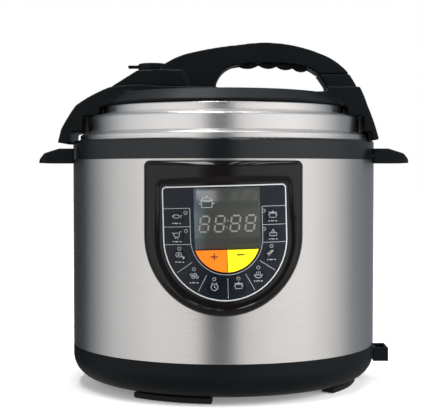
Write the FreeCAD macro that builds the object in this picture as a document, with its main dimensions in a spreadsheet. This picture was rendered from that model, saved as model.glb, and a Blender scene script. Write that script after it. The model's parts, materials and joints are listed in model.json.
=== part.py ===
import FreeCAD, Part
import math
import os

import Sketcher
from FreeCAD import Placement, Rotation, Vector

# Electric pressure cooker, about six litres.  Millimetres, +Z up.  The body's axis is the Z axis,
# the feet stand on Z = 0 and the control panel faces -Y.

SIZES = {
    # body
    "body_radius": 142.0,
    "shell_wall": 0.8,
    "shell_bottom": 36.9,
    "shell_top": 208.0,
    "ring_top": 225.6,
    "base_bottom": 5.5,
    "base_corner": 22.0,
    "plastic_wall": 2.5,
    "cover_radius": 96.5,
    "foot_radius": 119.0,
    "foot_width": 13.0,
    "foot_arc": 34.0,
    "first_foot_angle": 21.5,
    "stop_angle": 73.0,
    "stop_radius": 139.8,
    # side handles
    "handle_tip": 172.4,
    "handle_bottom": 205.0,
    "handle_top": 218.5,
    "handle_reach": 44.0,
    # pots
    "pot_radius": 111.0,
    "pot_wall": 1.5,
    "pot_bottom": 66.0,
    "pot_rim": 224.8,
    "jacket_radius": 119.5,
    "jacket_wall": 2.0,
    "jacket_bottom": 56.0,
    "lug_radius": 130.0,
    "lug_thickness": 3.5,
    "lug_count": 8.0,
    "lug_arc": 18.0,
    "plate_radius": 82.0,
    "plate_thickness": 8.0,
    "sensor_radius": 13.0,
    "sensor_travel": 2.0,
    # lid
    "lid_wall": 1.2,
    "skirt_radius": 135.3,
    "skirt_bottom": 215.8,
    "bead_top": 230.6,
    "middle_radius": 128.0,
    "middle_bottom": 233.4,
    "middle_top": 247.4,
    "upper_radius": 113.4,
    "upper_bottom": 250.8,
    "upper_top": 257.0,
    "dome_top": 266.0,
    "cover_top": 272.5,
    "strap_half_width": 36.0,
    "strap_top": 275.4,
    "grip_half_width": 16.0,
    "deck_half_width": 28.0,
    "deck_top": 291.3,
    "seam_height": 288.6,
    "inner_lid_radius": 104.0,
    "inner_lid_height": 233.0,
    "valve_x": 68.0,
    "valve_y": 12.0,
    "knob_radius": 13.7,
    "float_x": 42.0,
    "float_y": 36.0,
    # control panel
    "panel_radius": 152.0,
    "panel_seat": 142.2,
    "panel_half_width": 66.6,
    "panel_top": 206.4,
    "panel_centre": 143.9,
    "panel_corner": 5.0,
    "overlay_radius": 150.6,
    "overlay_half_width": 52.0,
    "overlay_top": 186.0,
    "overlay_centre": 142.0,
    "overlay_thickness": 0.9,
    "overlay_offset": 1.6,
    "overlay_tilt": 1.6,
    "field_offset": 2.8,
    "overlay_corner": 4.0,
    "cavity_radius": 146.0,
    "key_radius": 5.4,
    "lamp_radius": 0.9,
    "key_gap": 0.3,
    "key_travel": 0.4,
    "moon_half_width": 26.0,
    "moon_top": 132.8,
    "moon_radius": 27.6,
    "window_half_width": 26.5,
    "window_bottom": 142.6,
    "window_top": 165.4,
}

doc = FreeCAD.newDocument("pressure_cooker")
sheet = doc.addObject("Spreadsheet::Sheet", "Sizes")
for row, (size_name, size) in enumerate(SIZES.items(), start=1):
    sheet.set("A" + str(row), size_name.replace("_", " "))
    sheet.set("B" + str(row), str(size))
    sheet.setAlias("B" + str(row), size_name)
doc.recompute()

NODES = []


# ---------------------------------------------------------------- sizes and outlines


def value(text):
    """Number of a sum such as 'body_radius - shell_wall * 2'; terms hold only * and /."""
    total = 0.0
    sign = 1.0
    term = None
    operator = "*"
    for word in str(text).split():
        if word in ("+", "-"):
            total += sign * term
            sign = 1.0 if word == "+" else -1.0
            term = None
        elif word in ("*", "/"):
            operator = word
        else:
            number = SIZES[word] if word in SIZES else float(word)
            if term is None:
                term = number
            elif operator == "*":
                term *= number
            else:
                term /= number
    return total + sign * term


def bound(text):
    """The same sum, as an expression on the spreadsheet's cells."""
    return " ".join("Sizes." + word if word in SIZES else word for word in str(text).split())


def bind(thing, path, text):
    """Set a property to a sum of sizes and keep it tied to the spreadsheet."""
    thing.setExpression(path, bound(text))


def place(thing, x=0, y=0, z=0, turn=None):
    """Put an object at sums of sizes, with an optional rotation."""
    thing.Placement = Placement(Vector(value(x), value(y), value(z)), turn or Rotation())
    for axis, text in (("x", x), ("y", y), ("z", z)):
        if str(text) != "0":
            bind(thing, "Placement.Base." + axis, text)
    return thing


def draw_outline(sketch, corners):
    """Close a chain of lines and arcs through corners (across, up[, rise of the arc to the next])."""
    points = [Vector(value(corner[0]), value(corner[1]), 0) for corner in corners]
    count = len(points)
    for index, corner in enumerate(corners):
        start, end = points[index], points[(index + 1) % count]
        rise = value(corner[2]) if len(corner) > 2 else 0.0
        if rise:
            chord = end - start
            side = Vector(-chord.y, chord.x, 0).normalize()
            middle = (start + end) * 0.5 + side * rise
            sketch.addGeometry(Part.Arc(start, middle, end), False)
        else:
            sketch.addGeometry(Part.LineSegment(start, end), False)
    for index, corner in enumerate(corners):
        # An arc's own start is its clockwise end, so each corner is found by its place.
        first = nearest_end(sketch, index, points[index])
        last = nearest_end(sketch, index - 1 if index else count - 1, points[index])
        sketch.addConstraint(Sketcher.Constraint("Coincident", *last, *first))
        across = sketch.addConstraint(
            Sketcher.Constraint("DistanceX", -1, 1, *first, points[index].x)
        )
        up = sketch.addConstraint(Sketcher.Constraint("DistanceY", -1, 1, *first, points[index].y))
        sketch.setExpression("Constraints[%d]" % across, bound(corner[0]))
        sketch.setExpression("Constraints[%d]" % up, bound(corner[1]))
    for index, corner in enumerate(corners):
        if len(corner) > 2 and value(corner[2]):
            centre = sketch.Geometry[index].Center
            chord = points[(index + 1) % count] - points[index]
            if abs(chord.x) > abs(chord.y):
                hold = Sketcher.Constraint("DistanceY", -1, 1, index, 3, centre.y)
            else:
                hold = Sketcher.Constraint("DistanceX", -1, 1, index, 3, centre.x)
            sketch.addConstraint(hold)


def nearest_end(sketch, index, point):
    """(geometry, end) of the end of one line or arc that lies at a point."""
    start_gap = sketch.getPoint(index, 1).distanceToPoint(point)
    end_gap = sketch.getPoint(index, 2).distanceToPoint(point)
    return (index, 1) if start_gap < end_gap else (index, 2)


def plane_of(body, role):
    return next(item for item in body.Origin.OriginFeatures if item.Role == role)


def body_sketch(body, name, role, corners):
    sketch = body.newObject("Sketcher::SketchObject", name)
    sketch.AttachmentSupport = (plane_of(body, role), "")
    sketch.MapMode = "FlatFace"
    draw_outline(sketch, corners)
    return sketch


# ---------------------------------------------------------------- ways of making a piece


def node(thing):
    """Count an object among the pieces that are written out."""
    NODES.append(thing)
    return thing


def turned(label, corners, rounds=(), x=0, y=0, z=0, turn=None):
    """Body of revolution about its own Z from (radius, height) corners, with rounded rims."""
    body = doc.addObject("PartDesign::Body", label)
    sketch = body_sketch(body, label + "_profile", "XZ_Plane", corners)
    solid = body.newObject("PartDesign::Revolution", label + "_turn")
    solid.Profile = sketch
    solid.ReferenceAxis = (sketch, ["V_Axis"])
    solid.Angle = 360
    sketch.Visibility = False
    for radius, height, rounding in rounds:
        round_rim(body, radius, height, rounding)
    return place(body, x, y, z, turn)


def round_rim(body, radius, height, rounding):
    """Fillet the circular edge at a radius and height of a turned body."""
    doc.recompute()
    base = body.Tip
    wanted = []
    for index, edge in enumerate(base.Shape.Edges, start=1):
        if not isinstance(edge.Curve, Part.Circle):
            continue
        same_radius = abs(edge.Curve.Radius - value(radius)) < 0.02
        same_height = abs(edge.Curve.Center.z - value(height)) < 0.02
        if same_radius and same_height:
            wanted.append("Edge" + str(index))
    fillet = body.newObject("PartDesign::Fillet", body.Name + "_round")
    fillet.Base = (base, wanted)
    bind(fillet, "Radius", rounding)
    body.Tip = fillet


def prism(label, corners, bottom, thickness, turn=None):
    """Body padded upwards from an outline in X and Y."""
    body = doc.addObject("PartDesign::Body", label)
    sketch = body_sketch(body, label + "_outline", "XY_Plane", corners)
    solid = body.newObject("PartDesign::Pad", label + "_pad")
    solid.Profile = sketch
    bind(solid, "Length", thickness)
    return place(body, 0, 0, bottom, turn)


def side_prism(label, corners, half_width):
    """Body padded both ways along Y from an outline in X and Z."""
    body = doc.addObject("PartDesign::Body", label)
    sketch = body_sketch(body, label + "_outline", "XZ_Plane", corners)
    solid = body.newObject("PartDesign::Pad", label + "_pad")
    solid.Profile = sketch
    solid.Midplane = True
    bind(solid, "Length", half_width + " * 2")
    return body


def block(label, low, high, turn=None):
    """Part box between two corners given as sums of sizes."""
    box = doc.addObject("Part::Box", label)
    sides = (("Length", 0), ("Width", 1), ("Height", 2))
    for side, axis in sides:
        box.setExpression(side, bound(high[axis]) + " - (" + bound(low[axis]) + ")")
    return place(box, *low, turn)


def rod(label, radius, length, x=0, y=0, z=0, direction=(0, 0, 1)):
    """Part cylinder from a point along a direction."""
    cylinder = doc.addObject("Part::Cylinder", label)
    bind(cylinder, "Radius", radius)
    bind(cylinder, "Height", length)
    return place(cylinder, x, y, z, Rotation(Vector(0, 0, 1), Vector(*direction)))


def fused(label, pieces):
    fusion = doc.addObject("Part::MultiFuse", label)
    fusion.Shapes = pieces
    return fusion


def common(label, pieces):
    shared = doc.addObject("Part::MultiCommon", label)
    shared.Shapes = pieces
    return shared


def cut(label, base, tools):
    """Base less one or more tools."""
    result = doc.addObject("Part::Cut", label)
    result.Base = base
    result.Tool = tools[0] if len(tools) == 1 else fused(label + "_tools", tools)
    return result


def group(label, pieces):
    """Several separate solids of one kind as one piece of the list."""
    compound = doc.addObject("Part::Compound", label)
    compound.Links = pieces
    return compound


def about_axis(angle):
    """Rotation about Z by an angle in degrees, 0 facing the front."""
    return Rotation(Vector(0, 0, 1), angle)


def screw(label, x, y, z, direction, head=3.2, shank=1.6, length=9.0):
    """Pan head screw whose head stands at a point and whose shank runs along a direction."""
    way = Vector(*direction).normalize()
    start = Vector(x, y, z)
    tip = start - way * 2.2
    head_piece = rod(label + "_head", head, 2.2, tip.x, tip.y, tip.z, direction)
    shank_piece = rod(label + "_shank", shank, length, x, y, z, direction)
    return fused(label, [head_piece, shank_piece])


# ---------------------------------------------------------------- housing, base and ring


def make_housing():
    """Steel sleeve with a window behind the control panel."""
    sleeve = turned(
        "sleeve",
        [
            ("body_radius", "shell_bottom"),
            ("body_radius", "shell_top"),
            ("body_radius - shell_wall", "shell_top"),
            ("body_radius - shell_wall", "shell_bottom"),
        ],
    )
    window = block("sleeve_window", (-50, -160, 102), (50, -110, 192))
    node(cut("outer_housing", sleeve, [window]))


def make_base():
    """Black bowl under the steel sleeve, with a tongue inside it and an opening for the cover."""
    bowl = turned(
        "base_bowl",
        [
            ("cover_radius - 5", "base_bottom + 4.5"),
            ("cover_radius - 5", "base_bottom + 2.5"),
            ("cover_radius + 0.4", "base_bottom + 2.5"),
            ("cover_radius + 0.4", "base_bottom"),
            ("body_radius", "base_bottom"),
            ("body_radius", "shell_bottom - 0.2"),
            ("body_radius - shell_wall - 0.3", "shell_bottom - 0.2"),
            ("body_radius - shell_wall - 0.3", "shell_bottom + 9"),
            ("body_radius - shell_wall - 2.6", "shell_bottom + 9"),
            ("body_radius - shell_wall - 2.6", "base_bottom + 4.5"),
        ],
        [
            ("body_radius", "base_bottom", "base_corner"),
            ("body_radius - shell_wall - 2.6", "base_bottom + 4.5", "base_corner - 4"),
        ],
    )
    inlet_hole = block("base_inlet_hole", (-14, 125, 13.8), (14, 150, 34.2))
    node(cut("base_shell", bowl, [inlet_hole]))

    cover = turned(
        "cover_disc",
        [
            (0, "base_bottom"),
            ("cover_radius", "base_bottom"),
            ("cover_radius", "base_bottom + 2.2"),
            (0, "base_bottom + 2.2"),
        ],
    )
    slots = []
    for index in range(12):
        angle = index * 30
        slot = block("vent_slot_" + str(index), (40, -2, 0), (78, 2, 12))
        slot.Placement = Placement(Vector(), about_axis(angle)).multiply(slot.Placement)
        slot.setExpression("Placement.Base.x", None)
        slot.setExpression("Placement.Base.y", None)
        slots.append(slot)
    node(cut("bottom_cover", cover, slots))

    screws = []
    for index in range(4):
        angle = math.radians(index * 90 + 15)
        x, y = 93.5 * math.cos(angle), 93.5 * math.sin(angle)
        screws.append(screw("cover_screw_%d" % index, x, y, 5.3, (0, 0, 1), 2.6, 1.3, 5.0))
    node(group("bottom_cover_screws", screws))


def make_feet():
    """Four curved pads under the base's rim."""
    feet = []
    for index in range(4):
        name = "foot_%d" % index
        body = doc.addObject("PartDesign::Body", name)
        inner = "foot_radius - foot_width / 2"
        outer = "foot_radius + foot_width / 2"
        sketch = body_sketch(
            body,
            name + "_profile",
            "XZ_Plane",
            [(inner, 0), (outer + " - 1", 0), (outer, 1), (outer, "base_bottom"), (inner, "base_bottom")],
        )
        pad = body.newObject("PartDesign::Revolution", name + "_arc")
        pad.Profile = sketch
        pad.ReferenceAxis = (sketch, ["V_Axis"])
        bind(pad, "Angle", "foot_arc")
        pad.Midplane = True
        feet.append(place(body, turn=about_axis(90 * index - SIZES["first_foot_angle"])))
    node(group("rubber_feet", feet))


def make_ring():
    """Black ring on top of the sleeve; its well takes the lid's skirt."""
    ring = turned(
        "ring_body",
        [
            ("body_radius - shell_wall - 0.3", "shell_top + 0.2"),
            ("body_radius", "shell_top + 0.2"),
            ("body_radius", "ring_top"),
            ("skirt_radius + 1.6", "ring_top"),
            ("skirt_radius + 1.6", "skirt_bottom - 1.4"),
            ("jacket_radius + 0.5", "skirt_bottom - 1.4"),
            ("jacket_radius + 0.5", "skirt_bottom - 4.4"),
            ("body_radius - shell_wall - 2.6", "skirt_bottom - 4.4"),
            ("body_radius - shell_wall - 2.6", "shell_top - 9"),
            ("body_radius - shell_wall - 0.3", "shell_top - 9"),
        ],
        [("body_radius", "ring_top", "2.2")],
    )
    angle = math.radians(SIZES["stop_angle"])
    across, back = SIZES["stop_radius"] * math.sin(angle), SIZES["stop_radius"] * math.cos(angle)
    stop = rod("ring_stop", "4", 14, -across, -back, "shell_top + 0.2")
    node(fused("upper_ring", [ring, stop]))


def make_side_handles():
    """Flat grips left and right, curved to the ring, sloping off towards their tips."""
    root = "body_radius + 0.3"
    for name, side in (("side_handle_right", 1), ("side_handle_left", -1)):
        profile = side_prism(
            name + "_side",
            [
                ("body_radius - 20", "handle_bottom"),
                ("handle_tip", "handle_bottom"),
                ("handle_tip - 1", "handle_bottom + 4"),
                ("handle_tip - 6", "handle_top - 4.5"),
                ("handle_tip - 20", "handle_top"),
                ("body_radius - 20", "handle_top"),
            ],
            "handle_reach + 12",
        )
        plan = prism(
            name + "_plan",
            [
                ("body_radius - 30", "0 - handle_reach - 9"),
                ("body_radius - 6", "0 - handle_reach - 9"),
                ("handle_tip - 9", "0 - handle_reach + 8", "0 - 2"),
                ("handle_tip", "0 - handle_reach + 20", "0 - 3"),
                ("handle_tip", "handle_reach - 20"),
                ("handle_tip - 9", "handle_reach - 8", "0 - 3"),
                ("body_radius - 6", "handle_reach + 9", "0 - 2"),
                ("body_radius - 30", "handle_reach + 9"),
            ],
            "handle_bottom - 5",
            "30",
        )
        drum = rod(name + "_drum", root, 60, 0, 0, 180)
        under = side_prism(
            name + "_hollow",
            [
                ("body_radius + 4", "handle_bottom - 1"),
                ("handle_tip - 8", "handle_bottom - 1"),
                ("handle_tip - 9", "handle_bottom + 5"),
                ("body_radius + 4", "handle_bottom + 5"),
            ],
            "handle_reach - 16",
        )
        solid = common(name + "_blank", [profile, plan])
        handle = cut(name, solid, [drum, under])
        handle.Placement = Placement(Vector(), about_axis(0 if side > 0 else 180))
        node(handle)
    screws = []
    for index, (side, across) in enumerate(((1, -30), (1, 30), (-1, -30), (-1, 30))):
        angle = math.radians(across * 0.42)
        way = Vector(side * math.cos(angle), math.sin(angle), 0)
        start = way * 138.2
        screws.append(
            screw("handle_screw_%d" % index, start.x, start.y, 212.0, tuple(way), 3.0, 1.5, 9.0)
        )
    node(group("side_handle_screws", screws))


# ---------------------------------------------------------------- pots, heater and sensor


def lugs(label, inner, outer, bottom, thickness, first_angle):
    """Ring of bayonet teeth between two radii."""
    span = math.radians(SIZES["lug_arc"]) / 2
    teeth = []
    for index in range(int(SIZES["lug_count"])):
        tooth = prism(
            label + "_%d" % index,
            [
                (inner, "0 - %g" % (value(inner) * math.tan(span))),
                ("%g" % (value(outer) * math.cos(span)), "0 - %g" % (value(outer) * math.sin(span))),
                ("%g" % (value(outer) * math.cos(span)), "%g" % (value(outer) * math.sin(span))),
                (inner, "%g" % (value(inner) * math.tan(span))),
            ],
            bottom,
            thickness,
            about_axis(first_angle + index * 360 / SIZES["lug_count"]),
        )
        teeth.append(tooth)
    return teeth


def make_pots():
    """Pressure jacket with its bayonet teeth, and the cooking pot that hangs in it."""
    neck = "jacket_radius + 3"
    jacket = turned(
        "jacket_body",
        [
            ("plate_radius + 4", "jacket_bottom"),
            ("jacket_radius", "jacket_bottom"),
            ("jacket_radius", "skirt_bottom - 7"),
            ("body_radius - shell_wall - 8", "skirt_bottom - 7"),
            ("body_radius - shell_wall - 8", "skirt_bottom - 4.6"),
            ("jacket_radius", "skirt_bottom - 4.6"),
            ("jacket_radius", "pot_rim - lug_thickness"),
            (neck, "pot_rim - lug_thickness"),
            (neck, "pot_rim"),
            ("jacket_radius - jacket_wall", "pot_rim"),
            ("jacket_radius - jacket_wall", "jacket_bottom + 2"),
            ("plate_radius + 4", "jacket_bottom + 2"),
        ],
    )
    tooth_low = "pot_rim - lug_thickness"
    teeth = lugs("jacket_tooth", neck + " - 0.6", "lug_radius", tooth_low, "lug_thickness", 0)
    node(fused("pressure_jacket", [jacket] + teeth))

    node(
        turned(
            "inner_pot",
            [
                (0, "pot_bottom"),
                ("pot_radius", "pot_bottom"),
                ("pot_radius", "pot_rim"),
                ("pot_radius + 7", "pot_rim"),
                ("pot_radius + 7", "pot_rim + 1.2"),
                ("pot_radius - pot_wall", "pot_rim + 1.2"),
                ("pot_radius - pot_wall", "pot_bottom + pot_wall"),
                (0, "pot_bottom + pot_wall"),
            ],
            [
                ("pot_radius", "pot_bottom", "14"),
                ("pot_radius - pot_wall", "pot_bottom + pot_wall", "12.5"),
            ],
        )
    )
    node(
        turned(
            "insulation_sleeve",
            [
                ("jacket_radius + 9", "jacket_bottom + 4"),
                ("jacket_radius + 10", "jacket_bottom + 4"),
                ("jacket_radius + 10", "skirt_bottom - 12"),
                ("jacket_radius + 9", "skirt_bottom - 12"),
            ],
        )
    )


def make_heater():
    """Cast plate under the pot, its element, the sensor on its spring, and the safety parts."""
    plate_top = "pot_bottom - 0.2"
    disc = turned(
        "heating_disc",
        [
            ("sensor_radius + 3", "pot_bottom - 0.2 - plate_thickness"),
            ("plate_radius", "pot_bottom - 0.2 - plate_thickness"),
            ("plate_radius", plate_top),
            ("sensor_radius + 3", plate_top),
        ],
        [("plate_radius", plate_top, "2")],
    )
    element = doc.addObject("Part::Torus", "heating_element")
    element.Radius1 = 56
    element.Radius2 = 3.6
    place(element, 0, 0, "pot_bottom - plate_thickness - 1.2")
    node(fused("heating_plate", [disc, element]))

    node(
        turned(
            "temperature_sensor",
            [
                (0, "pot_bottom - 12"),
                (5, "pot_bottom - 12"),
                (5, "pot_bottom - 6"),
                ("sensor_radius", "pot_bottom - 6"),
                ("sensor_radius", "pot_bottom - 0.3"),
                (0, "pot_bottom - 0.3"),
            ],
            [("sensor_radius", "pot_bottom - 0.3", "1.5")],
        )
    )
    coil = doc.addObject("Part::Helix", "sensor_coil")
    coil.Pitch = 3.6
    coil.Height = 14.4
    coil.Radius = 8.5
    place(coil, 0, 0, "pot_bottom - 21.4")
    wire_section = doc.addObject("Part::Circle", "sensor_wire")
    wire_section.Radius = 0.7
    place(wire_section, 8.5, 0, "pot_bottom - 21.4", Rotation(Vector(1, 0, 0), 90))
    spring = doc.addObject("Part::Sweep", "sensor_spring")
    spring.Sections = [wire_section]
    doc.recompute()
    spring.Spine = (coil, ["Edge1"])
    spring.Solid = True
    spring.Frenet = True
    node(spring)
    node(
        turned(
            "sensor_bracket",
            [
                ("5.6", "pot_bottom - 24"),
                ("11", "pot_bottom - 24"),
                ("11", "pot_bottom - 17"),
                ("24", "pot_bottom - 17"),
                ("24", "pot_bottom - 15.8"),
                ("9.8", "pot_bottom - 15.8"),
                ("9.8", "pot_bottom - 22.6"),
                ("5.6", "pot_bottom - 22.6"),
            ],
        )
    )
    spring_plate = turned(
        "elastic_disc",
        [
            (26, "jacket_bottom - 10"),
            ("plate_radius + 12", "jacket_bottom - 10"),
            ("plate_radius + 12", "jacket_bottom - 8"),
            (26, "jacket_bottom - 8"),
        ],
    )
    spacers = []
    for index in range(4):
        angle = math.radians(45 + 90 * index)
        x, y = 90 * math.cos(angle), 90 * math.sin(angle)
        spacers.append(rod("spacer_%d" % index, "3.5", "8", x, y, "jacket_bottom - 8"))
    node(fused("elastic_pressure_plate", [spring_plate] + spacers))
    switch = block("switch_box", (-70, -8, "jacket_bottom - 30"), (-44, 8, "jacket_bottom - 14"))
    lever = block("switch_lever", (-68, -3, "jacket_bottom - 14"), (-46, 3, "jacket_bottom - 12.8"))
    stem = rod("switch_stem", "2", "2.6", -50, 0, "jacket_bottom - 12.8")
    node(fused("pressure_switch", [switch, lever, stem]))
    node(rod("thermal_fuse", "2.2", "22", 66, 30, "jacket_bottom - 13", (0, -1, 0)))


def make_electrics():
    """Power board with what is soldered to it, and the mains inlet with its pins."""
    board = block("board_sheet", (-48, -80, 16), (48, -26, 17.6))
    capacitors = [
        rod("capacitor_%d" % index, "5", "14", -34 + 14 * index, -36, 17.6) for index in range(3)
    ]
    relay = block("relay_case", (12, -72, 17.6), (32, -56, 34))
    transformer = block("transformer_core", (-40, -75, 17.6), (-12, -50, 42))
    standoffs = [
        rod("standoff_%d" % index, "2.5", "8.2", 43 * a, -53 + 23 * b, 7.8)
        for index, (a, b) in enumerate(((-1, -1), (1, -1), (-1, 1), (1, 1)))
    ]
    node(fused("power_board", [board, relay, transformer] + capacitors + standoffs))
    shell = block("inlet_shell", (-13.5, 118, 14.3), (13.5, 140.5, 33.7))
    flange = block("inlet_flange", (-18, 136.6, 11), (18, 138.2, 37))
    pocket = block("inlet_pocket", (-12, 123, 16), (12, 150, 32))
    node(cut("power_inlet", fused("inlet_blank", [shell, flange]), [pocket]))
    pins = [
        block("inlet_pin_%d" % index, (x - 1, 112, z - 2), (x + 1, 137, z + 2))
        for index, (x, z) in enumerate(((-7, 22), (7, 22), (0, 26)))
    ]
    node(group("inlet_pins", pins))


def make_rear_and_side_fittings():
    """Spoon holder on the right, and the condensation cup in its bracket at the back."""
    outer = block("holder_outer", (136, -14, 18), (156, 14, 31))
    hole = block("holder_hole", (144.6, -11.6, 15), (153.8, 11.6, 40))
    drum = rod("holder_drum", "body_radius + 0.1", 60, 0, 0, 8)
    node(cut("spoon_holder", outer, [hole, drum]))

    rails = []
    for side in (-1, 1):
        rails.append(
            block(
                "cup_rail_%d" % (side + 1),
                (side * 31.5 - 1.5, 130, 150),
                (side * 31.5 + 1.5, 151, 190),
            )
        )
    drum = rod("rail_drum", "body_radius + 0.1", 120, 0, 0, 100)
    plate = block("cup_back_plate", (-33, 135, 150), (33, 143.6, 190))
    shelf = block("cup_shelf", (-33, 132, 148), (33, 151, 150))
    node(cut("cup_bracket", fused("cup_bracket_blank", rails + [plate, shelf]), [drum]))
    cup = block("cup_outer", (-28.5, 144.2, 152), (28.5, 156.5, 197))
    inside = block("cup_inside", (-27, 145.7, 153.5), (27, 155, 205))
    node(cut("condensation_cup", cup, [inside]))


# ---------------------------------------------------------------- lid


def lid_steps(grow):
    """Outer (radius, height) corners of the stepped lid, grown outwards and upwards."""
    out = " + %g" % grow
    return [
        ("skirt_radius" + out, "skirt_bottom"),
        ("skirt_radius" + out, "bead_top" + out),
        ("middle_radius" + out, "middle_bottom" + out),
        ("middle_radius" + out, "middle_top" + out),
        ("upper_radius" + out, "upper_bottom" + out),
        ("upper_radius" + out, "upper_top" + out),
        ("upper_radius - 16" + out, "upper_top + 5" + out),
    ]


def make_steel_lid():
    """Stamped lid in three steps, with teeth under its skirt and holes for the valve and float."""
    outside = lid_steps(0)
    inside = [
        (0, "dome_top - lid_wall"),
        ("upper_radius - 16", "upper_top + 5 - lid_wall"),
        ("upper_radius - lid_wall", "upper_top - 1"),
        ("upper_radius - lid_wall", "upper_bottom - 0.6"),
        ("middle_radius - lid_wall", "middle_top - 1.6"),
        ("middle_radius - lid_wall", "middle_bottom - 1.4"),
        ("skirt_radius - lid_wall", "bead_top - 1.6"),
        ("skirt_radius - lid_wall", "skirt_bottom"),
    ]
    shell = turned(
        "lid_shell",
        outside + [(0, "dome_top")] + inside,
        [
            ("skirt_radius", "bead_top", "1.8"),
            ("middle_radius", "middle_top", "2.5"),
            ("upper_radius", "upper_top", "1.5"),
        ],
    )
    teeth = lugs(
        "lid_tooth",
        "jacket_radius + 6",
        "skirt_radius - lid_wall + 0.6",
        "skirt_bottom",
        "lug_thickness + 0.5",
        0,
    )
    post = turned(
        "lid_centre_post",
        [
            (0, "inner_lid_height - 1"),
            (3.9, "inner_lid_height - 1"),
            (3.9, "inner_lid_height + 3"),
            (6, "inner_lid_height + 3"),
            (6, "dome_top - lid_wall + 0.4"),
            (0, "dome_top - lid_wall + 0.4"),
        ],
    )
    whole = fused("lid_blank", [shell, post] + teeth)
    valve_hole = rod("lid_valve_hole", "5.2", "60", "0 - valve_x", "valve_y", 225)
    float_hole = rod("lid_float_hole", "4", "60", "0 - float_x", "float_y", 225)
    node(cut("steel_lid", whole, [valve_hole, float_hole]))


def make_lid_inside():
    """Inner lid on its centre post, with the gasket round it."""
    plate = turned(
        "inner_lid_disc",
        [
            (4.2, "inner_lid_height"),
            ("inner_lid_radius", "inner_lid_height"),
            ("inner_lid_radius", "inner_lid_height + 1.2"),
            (4.2, "inner_lid_height + 1.2"),
        ],
    )
    holes = [
        rod("inner_valve_hole", "4", "20", "0 - valve_x", "valve_y", 225),
        rod("inner_float_hole", "5", "20", "0 - float_x", "float_y", 225),
    ]
    node(cut("inner_lid_plate", plate, holes))
    node(
        turned(
            "inner_lid_grommet",
            [
                (0, "inner_lid_height - 5"),
                (8, "inner_lid_height - 5"),
                (8, "inner_lid_height - 0.1"),
                (4, "inner_lid_height - 0.1"),
                (4, "inner_lid_height - 1.1"),
                (0, "inner_lid_height - 1.1"),
            ],
            [("8", "inner_lid_height - 5", "2")],
        )
    )
    node(
        turned(
            "sealing_gasket",
            [
                ("inner_lid_radius + 0.3", "inner_lid_height - 5"),
                ("pot_radius - pot_wall - 1", "inner_lid_height - 8"),
                ("pot_radius - pot_wall - 0.6", "pot_rim + 1.6"),
                ("pot_radius + 7", "pot_rim + 1.6"),
                ("pot_radius + 7", "inner_lid_height + 1.4"),
                ("inner_lid_radius + 0.3", "inner_lid_height + 1.4"),
            ],
        )
    )
    wire = doc.addObject("Part::Torus", "gasket_wire_ring")
    wire.Radius1 = SIZES["inner_lid_radius"] - 4
    wire.Radius2 = 1.1
    place(wire, 0, 0, "inner_lid_height + 2.4")
    node(wire)


def make_vent():
    """Vent pipe with its nut and anti-block cap, and the turning valve knob on top."""
    at = {"x": "0 - valve_x", "y": "valve_y"}
    pipe_bottom = "inner_lid_height + 6"
    node(
        turned(
            "vent_pipe",
            [
                (2, pipe_bottom),
                (5, pipe_bottom),
                (5, "deck_top + 4.5"),
                (2, "deck_top + 4.5"),
            ],
            **at,
        )
    )
    points = []
    for index in range(6):
        angle = math.radians(60 * index)
        points.append(("%g" % (9 * math.cos(angle)), "%g" % (9 * math.sin(angle))))
    blank = prism("vent_nut_blank", points, "upper_bottom - 2.4", "4.6")
    place(blank, "0 - valve_x", "valve_y", "upper_bottom + 4")
    bore = rod("vent_nut_bore", "5.05", "40", "0 - valve_x", "valve_y", "upper_bottom - 10")
    node(cut("vent_nut", blank, [bore]))
    node(
        turned(
            "anti_block_cap",
            [
                (11, "inner_lid_height + 3.2"),
                (12, "inner_lid_height + 3.2"),
                (12, "inner_lid_height + 13"),
                (5.1, "inner_lid_height + 13"),
                (5.1, "inner_lid_height + 12"),
                (11, "inner_lid_height + 12"),
            ],
            **at,
        )
    )
    knob = turned(
        "valve_body",
        [
            (5.4, "deck_top + 0.6"),
            ("knob_radius - 3.5", "deck_top + 0.6"),
            ("knob_radius - 1", "deck_top + 3.2"),
            ("knob_radius", "deck_top + 3.4"),
            ("knob_radius", "deck_top + 9.5"),
            (0, "deck_top + 9.5"),
            (0, "deck_top + 6"),
            (5.4, "deck_top + 6"),
        ],
        [("knob_radius", "deck_top + 9.5", "1.5")],
        **at,
    )
    lever = block(
        "valve_lever",
        ("0 - valve_x - 23.4", "valve_y - 3.5", "deck_top + 5"),
        ("0 - valve_x - 8", "valve_y + 3.5", "deck_top + 7.8"),
    )
    node(fused("steam_valve_knob", [knob, lever]))


def make_float():
    """Float pin with its seal, and the sliding lock that the raised pin blocks."""
    at = {"x": "0 - float_x", "y": "float_y"}
    node(
        turned(
            "float_pin",
            [
                (0, "inner_lid_height + 5"),
                (6, "inner_lid_height + 5"),
                (6, "inner_lid_height + 7"),
                (3, "inner_lid_height + 7"),
                (3, "cover_top - 2.5"),
                (0, "cover_top - 2.5"),
            ],
            [("3", "cover_top - 2.5", "1")],
            **at,
        )
    )
    node(
        turned(
            "float_seal",
            [
                (3.3, "inner_lid_height + 13"),
                (6, "inner_lid_height + 13"),
                (6, "inner_lid_height + 15"),
                (3.3, "inner_lid_height + 15"),
            ],
            **at,
        )
    )


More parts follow.
